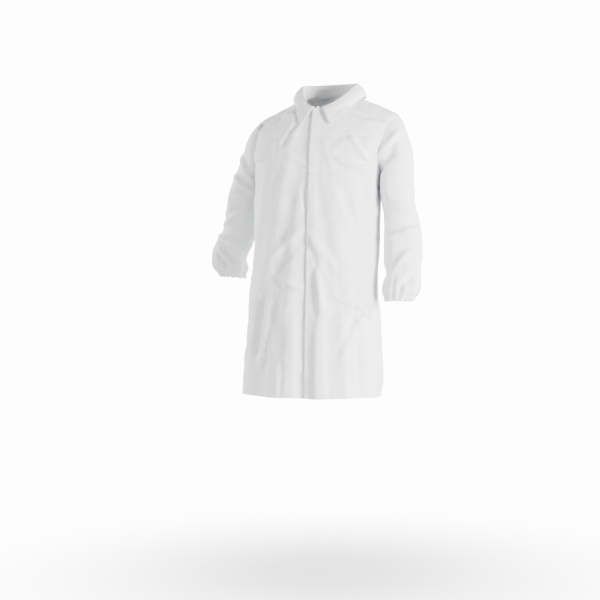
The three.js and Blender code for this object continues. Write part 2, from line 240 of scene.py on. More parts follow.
def sleeve_rows(side, armhole, rows, squeeze=1.0):
    """Rings of points from the armhole's own points down to the wrist."""
    table = np.array(SLEEVES[side])
    count = len(armhole)
    turn = 2 * math.pi * np.arange(count) / count
    rings = [armhole]
    for ox, oz, ix, iz, y, depth in table:
        middle = np.array([(ox + ix) / 2, y, (oz + iz) / 2])
        out = np.array([ox, y, oz]) - middle
        ring = middle + squeeze * (np.cos(turn)[:, None] * out
                                   - np.sin(turn)[:, None] * np.array([0, depth, 0]))
        rings.append(ring)
    rings = np.array(rings)
    middles = rings.mean(axis=1)
    run = np.concatenate([[0], np.linalg.norm(np.diff(middles, axis=0), axis=1).cumsum()])
    at = np.linspace(0, run[-1], rows + 1)
    flat = smooth_table(np.column_stack([run, rings.reshape(len(rings), -1)]), at)
    return flat.reshape(rows + 1, count, 3)


def coat_panels(shape, squeeze=1.0):
    """Every panel's points: {name: rows x columns x 3}. Shared edges hold the same points."""
    v = np.concatenate([np.linspace(-1, 0, LOWER_ROWS + 1), np.linspace(0, 1, UPPER_ROWS + 1)[1:]])
    panels = {}
    for side in SIDES:
        for name, face in (("front", -1), ("back", 1)):
            panels[f"{side}_{name}"] = panel(shape, side, face, v, COLUMNS)
        front, back = (panels[f"{side}_{n}"][LOWER_ROWS:, 0] for n in ("front", "back"))
        armhole = np.concatenate([front[::-1], back[1:-1]])
        panels[f"{side}_sleeve"] = sleeve_rows(side, armhole, SLEEVE_ROWS, squeeze)
    return panels


# ------------------------------------------------------------------ meshes
def grid_faces(index, ring=False):
    a = index[:-1, :-1] if not ring else index[:-1]
    b = index[:-1, 1:] if not ring else np.roll(index, -1, axis=1)[:-1]
    c = index[1:, 1:] if not ring else np.roll(index, -1, axis=1)[1:]
    d = index[1:, :-1] if not ring else index[1:]
    return np.stack([a, b, c, d], axis=-1).reshape(-1, 4)


def new_mesh(name, points, faces, material=None):
    mesh = bpy.data.meshes.new(name)
    mesh.from_pydata([tuple(p) for p in points], [], [tuple(int(i) for i in f) for f in faces])
    mesh.update()
    obj = bpy.data.objects.new(name, mesh)
    bpy.context.scene.collection.objects.link(obj)
    for polygon in mesh.polygons:
        polygon.use_smooth = True
    if material:
        mesh.materials.append(material)
    return obj


def number_points(grid, known, points):
    """The grid's table of point numbers. A point that is already known keeps its number."""
    table = np.zeros(grid.shape[:2], int)
    for i, j in np.ndindex(*table.shape):
        key = tuple(np.round(grid[i, j], 5) + 0.0)
        if key not in known:
            known[key] = len(points)
            points.append(grid[i, j])
        table[i, j] = known[key]
    return table


def faces_out(table, ring, points, outward):
    """The grid's faces, turned to look the way that `outward` gives for their first corners."""
    cells = grid_faces(table, ring)
    place = np.array(points)
    a, b, c, d = (place[cells[:, k]] for k in range(4))
    if np.sum(np.cross(c - a, d - b) * outward(a)) < 0:
        cells = cells[:, ::-1]
    distinct = [list(dict.fromkeys(f)) for f in cells.tolist()]
    return [f for f in distinct if len(f) > 2]


def weld(panels):
    """One mesh from all panels: points, faces, and each panel's own table of point numbers."""
    known, points, tables, faces = {}, [], {}, []
    for name, grid in panels.items():
        ring = name.endswith("sleeve")
        tables[name] = number_points(grid, known, points)
        middles = np.repeat(grid.mean(axis=1)[:-1], grid.shape[1], axis=0)
        outward = (lambda a: a - middles) if ring else (lambda a: (a - [AXIS_X, 0, 0]) * [1, 1, 0])
        faces += faces_out(tables[name], ring, points, outward)
    return np.array(points), faces, tables


def upsample(grid, times, ring=False):
    """The grid with `times` as many steps, by Catmull-Rom curves along rows and columns."""
    for axis in (0, 1):
        g = np.moveaxis(grid, axis, 0)
        closed = ring and axis == 1
        n = len(g)
        steps = n if closed else n - 1
        at = np.arange(steps * times + (0 if closed else 1)) / times
        k = np.minimum(at.astype(int), n - 1 if closed else n - 2)
        t = (at - k).reshape(-1, 1, 1)
        at_index = (lambda i: g[i % n]) if closed else (lambda i: g[np.clip(i, 0, n - 1)])
        a, b, c, d = (at_index(k + o) for o in (-1, 0, 1, 2))
        g = b + t * (c - a) / 2 + t * t * (a - 2.5 * b + 2 * c - d / 2) \
            + t ** 3 * (1.5 * (b - c) + (d - a) / 2)
        grid = np.moveaxis(g, 0, axis)
    return grid


def vertex_normals(points, faces):
    triangles = np.array([(f[0], f[k], f[k + 1]) for f in faces for k in range(1, len(f) - 1)])
    a, b, c = (points[triangles[:, k]] for k in range(3))
    flat = np.cross(b - a, c - a)
    normals = np.zeros_like(points)
    for k in range(3):
        np.add.at(normals, triangles[:, k], flat)
    return normals / np.maximum(np.linalg.norm(normals, axis=1, keepdims=True), 1e-12)


def neighbours(count, faces):
    edges = np.array([(f[k], f[(k + 1) % len(f)]) for f in faces for k in range(len(f))])
    edges = np.concatenate([edges, edges[:, ::-1]])
    degree = np.bincount(edges[:, 0], minlength=count)
    return edges, np.maximum(degree, 1)[:, None]


def relax(values, edges, degree, rounds, keep=0.5):
    """Values smoothed over the mesh."""
    for _ in range(rounds):
        total = np.zeros_like(values)
        np.add.at(total, edges[:, 0], values[edges[:, 1]])
        values = keep * values + (1 - keep) * total / degree
    return values


# ------------------------------------------------------------------ draping
SIM_FRAMES = 26
SLACK = 1.03  # how much wider the cloth is cut than the shape it hangs in
SLEEVE_SLACK = 1.07
FOLD_GAIN = {"body": 0.6, "left": 0.6, "right": 0.9}  # how much of the drape's folds are kept
BROAD_GAIN = 0.12  # and of its overall drift
BROAD_ROUNDS = 60  # rounds of smoothing that leave only the drift
COAT_DEPTH = 0.172  # half the coat, front to back
EDGE_GIVE = 0.008  # how far a fold may pass the coat's own depth
ARM_SHARE = 0.62  # the figure's arms against the sleeves
SKIN = 0.004  # distance that the cloth keeps from the figure


def cut_shape():
    """The same panels cut fuller: the lengths that the cloth wants to keep."""
    fuller = dict(COAT)
    fuller["body"] = [(z, AXIS_X + (l - AXIS_X) * SLACK, AXIS_X + (r - AXIS_X) * SLACK,
                       f * SLACK, b * SLACK) for z, l, r, f, b in COAT["body"]]
    return coat_panels(fuller, SLEEVE_SLACK)


def drape(points, faces, tables, fuller):
    """The points after the cloth has settled on the stand-in figure."""
    cloth = new_mesh("blank_cloth", points, faces)
    held = np.zeros(len(points))
    for side in SIDES:
        for face, turn in (("front", FRONT_TURN), ("back", BACK_TURN)):
            table = tables[f"{side}_{face}"]
            held[table[LOWER_ROWS + int(turn * UPPER_ROWS):, -1]] = 1
        held[tables[f"{side}_front"][:, -2:]] = 1
        held[tables[f"{side}_sleeve"][-2:]] = 1
    group = cloth.vertex_groups.new(name="held")
    group.add([int(i) for i in np.nonzero(held)[0]], 1.0, "REPLACE")
    cloth.shape_key_add(name="Basis")
    key = cloth.shape_key_add(name="cut")
    cut = points.copy()
    for name, table in tables.items():
        cut[table] = fuller[name]
    key.data.foreach_set("co", cut.ravel())
    body_points, body_faces, _ = weld(coat_panels(FIGURE, ARM_SHARE))
    figure = new_mesh("figure", body_points, body_faces)
    figure.modifiers.new("hit", "COLLISION")
    figure.collision.thickness_outer = SKIN
    figure.collision.cloth_friction = 12
    bpy.context.scene.frame_start, bpy.context.scene.frame_end = 1, SIM_FRAMES
    modifier = cloth.modifiers.new("drape", "CLOTH")
    settings = modifier.settings
    settings.quality = 6
    settings.mass = 0.12
    settings.air_damping = 2.0
    settings.tension_stiffness = settings.compression_stiffness = 18
    settings.shear_stiffness = 12
    settings.bending_stiffness = 1.6
    settings.vertex_group_mass = "held"
    settings.pin_stiffness = 1.0
    settings.rest_shape_key = key
    modifier.collision_settings.distance_min = 0.003
    modifier.point_cache.frame_start, modifier.point_cache.frame_end = 1, SIM_FRAMES
    for frame_number in range(1, SIM_FRAMES + 1):
        bpy.context.scene.frame_set(frame_number)
    settled = cloth.evaluated_get(bpy.context.evaluated_depsgraph_get())
    out = np.empty(len(points) * 3, np.float32)
    settled.data.vertices.foreach_get("co", out)
    bpy.context.scene.frame_set(1)
    bpy.data.objects.remove(cloth)
    bpy.data.objects.remove(figure)
    return out.reshape(-1, 3).astype(float)


def hung_panels():
    """The panels after draping: the drape's folds on the designed outline."""
    panels = coat_panels(COAT)
    points, faces, tables = weld(panels)
    moved = drape(points, faces, tables, cut_shape()) - points
    edges, degree = neighbours(len(points), faces)
    broad = relax(moved, edges, degree, BROAD_ROUNDS)
    gain = np.full((len(points), 1), FOLD_GAIN["body"])
    for side in SIDES:
        gain[tables[f"{side}_sleeve"][1:]] = FOLD_GAIN[side]
    folds = relax(moved - broad, edges, degree, 3)
    shaped = points + relax(gain, edges, degree, 6) * folds + BROAD_GAIN * broad
    for axis, low, high in ((1, -COAT_DEPTH, COAT_DEPTH - 0.002), (2, HEM_Z, 1.0)):
        over = np.maximum(0, shaped[:, axis] - high) - np.maximum(0, low - shaped[:, axis])
        shaped[:, axis] += EDGE_GIVE * np.tanh(over / EDGE_GIVE) - over
    return {name: shaped[table] for name, table in tables.items()}


# ------------------------------------------------------------------ the finished surface
FINE = 3  # the drawn surface has this many steps to each step of the draped one


def unrest(points, size, seed, kind="soft"):
    """Smooth noise from -1 to 1 at each point, its lumps about `size` metres across."""
    shift = Vector((seed * 3.1, seed * 1.7, seed * 0.9))
    out = np.empty(len(points))
    for k, p in enumerate(points):
        at = Vector(p) / size + shift
        out[k] = noise.noise(at)
    return out if kind == "soft" else 1 - 2 * np.abs(out)


def stroke(points, a, b, width, skew=0.0):
    """1 along the line a-b, given as x and z, and 0 a few widths away. Skew turns the groove
    into a fold with one steep side."""
    way = b - a
    length = np.linalg.norm(way)
    flat = points[:, [0, 2]] - a
    t = flat @ way / length ** 2
    off = (flat[:, 0] * way[1] - flat[:, 1] * way[0]) / length / width
    ends = ramp(-0.12, 0.22, t) * ramp(1.12, 0.78, t)
    return (np.exp(-off ** 2) * (1 - skew) + skew * 2.2 * off * np.exp(-off ** 2)) * ends


def in_metres(rows):
    """Folds given in mm as start x and z, end x and z, half width, depth (+ is out), then skew."""
    rows = np.array(rows) / ([1000] * 6 + [1])
    return [(row[0:2], row[2:4], *row[4:]) for row in rows]


# folds of the front, as the photo shows them
FRONT_FOLDS = in_metres([
    (-250, -98, -120, -28, 12, -12, 0.3), (-215, -110, -130, -62, 9, -7, 0.4),
    (85, -26, 195, -88, 12, -11.5, 0.4), (75, -55, 165, -85, 8, -6, 0.4),
    (55, -128, 100, -126, 4.8, -3.6, 0), (46, -140, 112, -138, 4.8, -4, 0),
    (52, -153, 98, -150, 4.8, -3.4, 0), (-130, -150, -80, -149, 4.8, -3.6, 0),
    (-124, -163, -80, -160, 4.8, -3.6, 0), (20, -160, 60, -262, 11, 3.5, 0.4),
    (-87, -45, -73, -105, 8, -8.5, 0.2), (-77, -95, -118, -166, 8.5, -7.2, 0.3),
    (-62, -112, -95, -172, 10, 3, 0.4), (-26, -250, 66, -258, 6, -7.5, 0.3),
    (50, -205, 155, -243, 11, 10, 0.7), (100, -130, 158, -222, 11, 8.5, 0.6),
    (50, -228, 155, -275, 12, -8.5, 0.3), (-18, -445, 80, -575, 15, 9.5, 0.5),
    (-16, -480, 50, -660, 14, -6.5, 0.4), (70, -540, 78, -660, 12, -5, 0.3),
    (60, -310, 100, -430, 13, 4.5, 0.4), (95, -320, 130, -450, 12, -4.5, 0.3),
    (-20, -250, -110, -205, 12, 4, 0.5), (-34, -390, -48, -300, 10, -5.5, 0.3),
    (-34, -440, -150, -530, 16, 7, 0.5), (-34, -480, -160, -600, 15, -5, 0.3),
    (-6, -560, 8, -715, 13, -7, 0.5), (12, -560, 30, -700, 10, 6.5, 0.4),
    (-35, -640, -150, -585, 13, 6, 0.5), (-178, -630, -212, -850, 15, -17, 0.2),
    (-155, -660, -178, -860, 14, 8.5, 0.4), (-140, -720, -150, -1010, 15, 7.5, 0.3),
    (-105, -740, -110, -1010, 14, -8, 0.2), (-66, -700, -66, -1010, 13, 7, 0.3),
    (12, -730, 10, -1010, 13, 6, 0.3), (48, -720, 54, -1010, 15, -10, 0.2),
    (86, -700, 100, -1010, 17, 11, 0.3), (128, -720, 138, -1010, 13, -8, 0.2),
    (125, -685, 20, -640, 14, 8, 0.5), (125, -700, 40, -740, 14, 7, 0.5),
    (128, -710, 60, -850, 13, -7.5, 0.3), (150, -690, 152, -570, 12, 7.5, 0.4),
    (112, -684, 146, -722, 6.5, -11, 0.3), (108, -716, 146, -698, 6, -9.5, 0.3),
    (124, -668, 130, -742, 6, 7, 0.4),
])
# folds of the back, which the photo doesn't show
BACK_FOLDS = in_metres([
    (-150, -120, -175, -620, 22, 11, 0.5), (-100, -300, -120, -1010, 18, -12, 0.4),
    (-50, -220, -60, -1010, 24, 10, 0.5), (10, -160, -4, -760, 20, -10, 0.4),
    (50, -420, 62, -1010, 20, 11, 0.5), (105, -180, 118, -1010, 20, -11, 0.4),
    (150, -560, 158, -1010, 18, 8, 0.4), (-215, -540, -230, -1010, 20, 9, 0.4),
    (-180, -130, -90, -300, 15, -7, 0.5), (135, -130, 60, -290, 15, -7, 0.5),
    (-140, -560, 20, -610, 14, -5, 0.4),
])
# sharp creases left by folding in the packet
PACKET_CREASES = in_metres([
    (-260, -138, 200, -142, 4.2, -3.4, 0.2), (-120, -628, -40, -626, 5, -3.4, 0),
    (-90, -696, 80, -702, 5, -3.4, 0), (-300, -418, 200, -418, 4.2, -1.2, 0),
    (85, -30, 85, -990, 4.2, -1.1, 0), (-145, -30, -145, -990, 4.2, -1.1, 0),
])
SLEEVE_FOLDS = in_metres([
    (246, -130, 172, -222, 12, 13, 0.6), (232, -185, 170, -262, 11, -11.1, 0.2),
    (236, -236, 270, -238, 6, -5.9, 0), (236, -278, 272, -280, 6, -5.2, 0),
    (200, -320, 285, -365, 14, 12.3, 0.5), (190, -370, 292, -405, 14, -10.4, 0.2),
    (200, -460, 300, -425, 13, 10.4, 0.5), (225, -500, 300, -480, 12, -8.4, 0.3),
    (200, -590, 270, -500, 12, 9.7, 0.5), (240, -630, 295, -560, 11, -9.1, 0.3),
    (-305, -165, -252, -275, 13, 7.8, 0.6), (-335, -235, -262, -300, 11, 8.4, 0.5),
    (-352, -310, -268, -300, 12, -7.8, 0.2), (-390, -400, -282, -345, 12, 9.7, 0.5),
    (-400, -372, -300, -420, 11, -7.8, 0.3), (-430, -430, -322, -470, 12, 8.4, 0.4),
    (-430, -470, -362, -555, 10, -9.1, 0.4), (-400, -480, -345, -550, 10, 7.8, 0.5),
])
HEM_WAVE = 0.006  # how far the hem rises and falls
# noise over the whole coat: seed, size of its lumps, height, kind
CRUMPLE = [(1, 0.085, 0.0042, "ridge"), (2, 0.036, 0.0017, "ridge"), (3, 0.140, 0.0040, "soft")]
KNOT = np.array([0.143, -0.700])  # bunch of cloth at the wearer's left hip, x and z


def shaped_panels():
    """Every panel on the fine grid, folds and creases included, and its normals."""
    coarse = hung_panels()
    fine = {name: upsample(grid, FINE, name.endswith("sleeve")) for name, grid in coarse.items()}
    points, faces, tables = weld(fine)
    normals = vertex_normals(points, faces)
    sleeve = np.zeros(len(points), bool)
    for side in SIDES:
        sleeve[tables[f"{side}_sleeve"][2:]] = True
    front = ramp(0.05, 0.45, 0.35 * np.maximum(0, normals[:, 2]) - normals[:, 1])
    back = ramp(0.05, 0.45, normals[:, 1])
    out = np.zeros(len(points))
    for folds, where in ((FRONT_FOLDS, front * ~sleeve), (BACK_FOLDS, back * ~sleeve),
                         (PACKET_CREASES, (front + back) * ~sleeve), (SLEEVE_FOLDS, front * sleeve)):
        for a, b, width, depth, skew in folds:
            out += depth * where * stroke(points, a, b, width, skew)
    away = points[:, [0, 2]] - KNOT
    ring = np.linalg.norm(away * [1.2, 1.0], axis=1)
    spokes = np.cos(7 * np.arctan2(away[:, 1], away[:, 0]) + 1.0)
    out += (points[:, 1] < 0) * ~sleeve * np.exp(-(ring / 0.034) ** 2) * (0.0055 + 0.0085 * spokes)
    edges, degree = neighbours(len(points), faces)
    crumple = sum(height * unrest(points, size, seed, kind) for seed, size, height, kind in CRUMPLE)
    crumple *= 0.55 + 0.45 * unrest(points, 0.16, 5)
    out += relax(crumple[:, None], edges, degree, 1)[:, 0]
    points = points + out[:, None] * normals
    wave = unrest(points * [1, 1, 0], 0.13, 6)
    points[:, 2] += HEM_WAVE * wave * ramp(-0.80, HEM_Z, points[:, 2])
    normals = vertex_normals(points, faces)
    return {n: points[t] for n, t in tables.items()}, {n: normals[t] for n, t in tables.items()}


# ------------------------------------------------------------------ materials
def fill(tree, node, inputs):
    """Sets a node's inputs, each to a number, a colour or another node's output."""
    for socket, value in inputs.items():
        if isinstance(value, bpy.types.NodeSocket):
            tree.links.new(value, node.inputs[socket])
        else:
            node.inputs[socket].default_value = value


def add_node(tree, kind, inputs=None, **settings):
    made = tree.nodes.new("ShaderNode" + kind)
    for key, value in settings.items():
        setattr(made, key, value)
    fill(tree, made, inputs or {})
    return made


def new_material(name, inputs):
    """A material, its node tree and its shader."""
    material = bpy.data.materials.new(name)
    material.use_nodes = True
    tree = material.node_tree
    surface = tree.nodes["Principled BSDF"]
    fill(tree, surface, inputs)
    return material, tree, surface


def tones(tree, factor, tint, shade, low=0.0, high=1.0):
    """A colour between `shade` of the tint and the tint."""
    made = add_node(tree, "ValToRGB", {"Fac": factor})
    dark, light = made.color_ramp.elements
    dark.position, light.position = low, high
    dark.color, light.color = (*[c * shade for c in tint], 1), (*tint, 1)
    return made.outputs["Color"]


def nonwoven(name, tint, emboss, crumple):
    """White spun-bonded cloth: point-bonded pattern, matted fibres, fine paper-like creases."""
    material, tree, surface = new_material(
        name, {"Roughness": 0.72, "Specular IOR Level": 0.25, "Sheen Weight": 0.12})
    uv = add_node(tree, "UVMap").outputs["UV"]
    place = add_node(tree, "TexCoord").outputs["Object"]

    def noise_of(scale, source, **inputs):
        inputs.update(Scale=scale, Vector=source)
        return add_node(tree, "TexNoise", inputs).outputs["Fac"]

    broad = noise_of(13, place, Detail=2.0, Distortion=0.3)
    # noise folded about its middle makes sharp ridges
    fold = add_node(tree, "Math", {0: broad, 1: 0.5}, operation="SUBTRACT").outputs[0]
    ridges = add_node(tree, "Math", {0: fold}, operation="ABSOLUTE").outputs[0]
    dots = add_node(tree, "TexVoronoi", {"Scale": 620, "Vector": uv, "Randomness": 0.0})
    reliefs = [
        (ridges, crumple, 0.0075),
        (noise_of(60, place, Detail=5.0, Roughness=0.55), crumple, 0.0010),
        (dots.outputs["Distance"], emboss, 0.0004),
        (noise_of(1500, uv, Detail=3.0), emboss, 0.0003),
    ]
    before = {}
    for height, strength, distance in reliefs:
        bump = add_node(tree, "Bump", {"Height": height, "Strength": strength,
                                       "Distance": distance, **before})
        before = {"Normal": bump.outputs["Normal"]}
    patches = noise_of(9, place, Detail=4.0)
    fill(tree, surface, {"Base Color": tones(tree, patches, tint, 0.955, 0.3, 0.7), **before})
    through = add_node(tree, "BsdfTranslucent", {"Color": (0.86, 0.87, 0.88, 1), **before})
    mix = add_node(tree, "MixShader", {"Fac": 0.10, 1: surface.outputs[0], 2: through.outputs[0]})
    fill(tree, tree.nodes["Material Output"], {"Surface": mix.outputs[0]})
    return material


def ribbed(name, tint, scale, roughness, along="X"):
    """Narrow woven or knitted goods: ribs across, fine threads along."""
    material, tree, surface = new_material(name, {"Roughness": roughness})
    uv = add_node(tree, "UVMap").outputs["UV"]
    waves = add_node(tree, "TexWave", {"Vector": uv, "Scale": scale, "Distortion": 0.6,
                                       "Detail": 2.0}, bands_direction=along).outputs["Fac"]
    bump = add_node(tree, "Bump", {"Height": waves, "Strength": 0.5, "Distance": 0.0005})
    fill(tree, surface, {"Base Color": tones(tree, waves, tint, 0.86),
                         "Normal": bump.outputs["Normal"]})
    return material


def moulded(name):
    """White snap plastic, faintly scuffed."""
    material, tree, surface = new_material(name, {"Base Color": (0.80, 0.80, 0.79, 1)})
    place = add_node(tree, "TexCoord").outputs["Object"]
    scuffs = add_node(tree, "TexNoise", {"Scale": 700, "Vector": place}).outputs["Fac"]
    shine = add_node(tree, "MapRange", {"Value": scuffs, "To Min": 0.28, "To Max": 0.46})
    fill(tree, surface, {"Roughness": shine.outputs["Result"]})
    return material


WHITE = nonwoven("nonwoven_white", (0.80, 0.81, 0.825), 0.16, 0.55)
ELASTIC = ribbed("elastic_rib", (0.74, 0.73, 0.70), 320, 0.8)
TAPE = ribbed("woven_tape", (0.80, 0.80, 0.80), 520, 0.65, "DIAGONAL")
PLASTIC = moulded("snap_white")
COTTON = ribbed("thread_white", (0.78, 0.78, 0.78), 900, 0.6)


# ------------------------------------------------------------------ pieces
CLOTH = 0.0005
OVERLAP = 0.034  # how far the right front passes under the left one's edge
STEP = 0.0034  # depth of that step at the closure


def lengths(grid):
    """UV in metres: how far each point is along its row and up its column."""
    across = np.linalg.norm(np.diff(grid, axis=1), axis=2).mean(axis=0).cumsum()
    up = np.linalg.norm(np.diff(grid, axis=0), axis=2).mean(axis=1).cumsum()
    u, v = np.meshgrid(np.concatenate([[0], across]), np.concatenate([[0], up]))
    return np.stack([u, v], axis=2)


def away_from_axis(p):
    return np.array([p[0] - AXIS_X, p[1] * 1.6, 0.12 * max(0.0, (p[2] + 0.2) / 0.2)])


def cloth_piece(name, grids, outward=away_from_axis, material=WHITE, thickness=CLOTH, ring=False,
                shading=None):
    """One closed thin sheet from a grid, or from (grid, UV shift) pairs that share edges.
    `outward(point)` looks out of the cloth, so that the outer face is the right way round.
    `shading` gives the normals of the only grid where the cloth runs on into the next piece."""
    known, points, uvs, faces = {}, [], [], []
    for grid, shift in [(grids, 0)] if isinstance(grids, np.ndarray) else grids:
        uv = lengths(grid) + shift
        table = number_points(grid, known, points)
        for at, number in np.ndenumerate(table):
            if number == len(uvs):
                uvs.append(uv[at])
        faces += faces_out(table, ring, points, lambda a: np.array([outward(p) for p in a]))
    points = np.array(points)
    count = len(points)
    both = np.concatenate([points, points - thickness * vertex_normals(points, faces)])
    behind = [[v + count for v in reversed(f)] for f in faces]
    sides = {(f[k], f[(k + 1) % len(f)]) for f in faces for k in range(len(f))}
    rims = [(b, a, a + count, b + count) for a, b in sorted(sides) if (b, a) not in sides]
    obj = new_mesh(name, both, faces + behind + rims, material)
    smooth = len(obj.data.polygons) - len(rims)
    for polygon in list(obj.data.polygons)[smooth:]:
        polygon.use_smooth = False
    layer = obj.data.uv_layers.new(name="UVMap")
    flat = np.array(uvs)[[loop.vertex_index % count for loop in obj.data.loops]]
    layer.data.foreach_set("uv", flat.astype(np.float32).ravel())
    if shading is not None:
        around = np.concatenate([shading.reshape(-1, 3), -shading.reshape(-1, 3)])
        obj.data.normals_split_custom_set([
            tuple(around[v]) if polygon.index < smooth else (0, 0, 0)
            for polygon in obj.data.polygons for v in polygon.vertices])
    return obj


def layer(panel_name, depth):
    """A panel's surface, moved out by `depth`."""
    grid = SHAPED[panel_name]
    depth = np.broadcast_to(np.asarray(depth, float), grid.shape[:2])
    return grid + depth[..., None] * FACING_OUT[panel_name]


def stand_for(obj, body, *nodes):
    """The piece is shown instead of these CAD nodes and rides one body."""
    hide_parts(*nodes)
    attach(obj, body)


def bend(obj, fold, *nodes):
    """The piece is shown instead of these CAD nodes, if any, and its transform is baked into its
    points.
    """
    if nodes:
        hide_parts(*nodes)
    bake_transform(obj)


NECK_ROW = FINE * (LOWER_ROWS + int(FRONT_TURN * UPPER_ROWS))
SEAM_ROW = FINE * LOWER_ROWS
SHAPED, FACING_OUT = shaped_panels()

FRONT_BLEND = {
    "left": ("root", "left_front", (0.07, -0.15, -0.07), (0.07, -0.15, -0.44)),
    "right": ("root", "right_front", (-0.13, -0.15, -0.07), (-0.13, -0.15, -0.44)),
}


def front_depth(side):
    """How far each point of a front stands out from the shared surface."""
    grid = SHAPED[f"{side}_front"]
    from_edge = grid[..., 0] - SHAPED["left_front"][:, -1:, 0]
    below = ramp(NECK_ROW + 10, NECK_ROW, np.arange(len(grid)))[:, None]
    if side == "left":
        z = grid[..., 2]
        nearest = np.min([np.abs(z - s) for s in SNAP_Z], axis=0)
        pucker = 0.0008 * ramp(0.0, 0.05, nearest) * ramp(0.04, 0.0, from_edge)
        return 0.0006 + below * (0.0009 * ramp(0.032, 0.022, from_edge) + pucker)
    return 0.0004 - below * STEP * ramp(-0.075, -0.003, from_edge)


STITCH = 0.0034  # from one stitch to the next
THREAD = 0.00024


def stitches(name, path, out):
    """A line of separate stitches lying on the cloth along a path of surface points."""
    run = np.concatenate([[0], np.linalg.norm(np.diff(path, axis=0), axis=1).cumsum()])
    at = np.arange(STITCH / 2, run[-1] - STITCH, STITCH)
    spot = lambda t: np.stack([np.interp(t, run, path[:, k]) for k in range(3)], axis=1)
    above = np.stack([np.interp(at, run, out[:, k]) for k in range(3)], axis=1)
    a, b = spot(at), spot(at + STITCH * 0.74)
    way = (b - a) / np.linalg.norm(b - a, axis=1, keepdims=True)
    across = np.cross(way, above)
    points, faces = [], []
    for k in range(len(at)):
        base = len(points)
        for share, size in ((0.0, 0.35), (0.25, 1.0), (0.75, 1.0), (1.0, 0.35)):
            middle = a[k] + (b[k] - a[k]) * share
            points += [middle + THREAD * size * (across[k] * x + above[k] * (y + 0.5))
                       for x, y in ((1, 0), (0, 1), (-1, 0), (0, -1))]
        faces += (grid_faces(np.arange(16).reshape(4, 4), ring=True) + base).tolist()
        faces += [[base + 3, base + 2, base + 1, base], [base + 12, base + 13, base + 14, base + 15]]
    obj = new_mesh(name, np.array(points), faces, COTTON)
    return obj


UNDER = 0.0014  # from the outer surface to the layer folded under it
SEAM_UNDER = 0.0022  # and to the allowance of a side seam
HEM_ROWS = 4  # height of the hems, in rows of the drawn surface
FACING_WIDTH = 0.052
PLACKET_WIDTH = 0.024  # from the free edge to the second line of stitches


def fronts():
    """Both fronts with their facings, hems, side seams and stitches. Returns their surfaces."""
    depth = {side: front_depth(side) for side in SIDES}
    surface = {side: layer(f"{side}_front", depth[side]) for side in SIDES}
    lining = {side: layer(f"{side}_front", depth[side] - UNDER) for side in SIDES}
    step = np.linalg.norm(np.diff(SHAPED["left_front"][SEAM_ROW], axis=0), axis=1)[-8:].mean()
    across = int(OVERLAP / step) + 1

    def passed_under(height):
        """The strip of the right front that lies under the left one's edge."""
        return layer("left_front", height - STEP)[:NECK_ROW + 1, ::-1][:, :across + 1]

    width = lengths(surface["right"])[0, -1, 0]
    cloth = {"left": surface["left"],
             "right": [(surface["right"], 0), (passed_under(0.0004), np.array([width, 0]))]}
    for side in SIDES:
        piece = cloth_piece(f"{side}_front_cloth", cloth[side])
        bend(piece, FRONT_BLEND[side], f"{side}_front_yoke", f"{side}_front_skirt")
    turned = int(FACING_WIDTH / step)
    strips = {
        "left": lining["left"][:NECK_ROW + 1, -turned - 1:],
        "right": np.concatenate([lining["right"][:NECK_ROW + 1, -4:-1], passed_under(-0.0010)],
                                axis=1),
    }
    for side in SIDES:
        piece = cloth_piece(f"{side}_facing_cloth", strips[side])
        bend(piece, FRONT_BLEND[side], f"{side}_facing_upper", f"{side}_facing_lower")
    for side, end in (("left", -turned - 1), ("right", -4)):
        hem = cloth_piece(f"{side}_front_hem_cloth", lining[side][:HEM_ROWS + 1, :end])
        bend(hem, FRONT_BLEND[side], f"{side}_front_hem")
        seam = layer(f"{side}_front", -SEAM_UNDER)[HEM_ROWS:SEAM_ROW + 1, 0:6]
        stand_for(cloth_piece(f"{side}_side_seam_cloth", seam), "root", f"{side}_side_seam")
        row = HEM_ROWS - 1
        line = stitches(f"{side}_hem_stitches", surface[side][row], FACING_OUT[f"{side}_front"][row])
        bend(line, FRONT_BLEND[side])
    for name, column in (("edge", -2), ("placket", -int(PLACKET_WIDTH / step) - 1)):
        line = stitches(f"left_{name}_stitches", surface["left"][1:NECK_ROW, column],
                        FACING_OUT["left_front"][1:NECK_ROW, column])
        bend(line, FRONT_BLEND["left"])
    return surface


def back():
    """The back panel, its hem, their stitches and the shoulder seams."""
    shift = np.array([lengths(SHAPED["left_back"])[0, -1, 0], 0])
    for name, depth, rows, node in (("back_cloth", 0.0, None, "back_panel"),
                                    ("back_hem_cloth", -UNDER, HEM_ROWS + 1, "back_hem")):
        left, right = (layer(f"{side}_back", depth)[:rows] for side in SIDES)
        stand_for(cloth_piece(name, [(left, 0), (right[:, ::-1], shift)]), "root", node)
    for side in SIDES:
        row = HEM_ROWS - 1
        line = stitches(f"{side}_back_hem_stitches", SHAPED[f"{side}_back"][row],
                        FACING_OUT[f"{side}_back"][row])
        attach(line, "root")
    for side in SIDES:
        strip = cloth_piece(f"{side}_shoulder_seam_cloth", layer(f"{side}_back", -UNDER)[-3:],
                            lambda p: np.array([0, 0.2, 1.0]))
        stand_for(strip, "root", f"{side}_shoulder_seam")


SLEEVE_BLEND = {
    "left": ("root", "left_upper_sleeve", (0.1720, 0.01, -0.2160), (0.2292, 0.01, -0.2490)),
    "right": ("root", "right_upper_sleeve", (-0.2450, 0.01, -0.2123), (-0.2959, 0.01, -0.2361)),
}
ELBOW_BLEND = {  # square to the ring where the sleeve is split
    "left": ("left_upper_sleeve", "left_lower_sleeve",
             (0.2272, 0.009, -0.3380), (0.2377, 0.009, -0.4073)),
    "right": ("right_upper_sleeve", "right_lower_sleeve",
              (-0.3113, 0.053, -0.3040), (-0.3310, 0.0537, -0.3743)),
}
SPLIT_RING = 3  # row of the sleeve's table where it is split at the elbow
GATHERS = 13
GATHER_HEIGHT = 0.0026
ARMHOLE_RIDGE = 0.0016
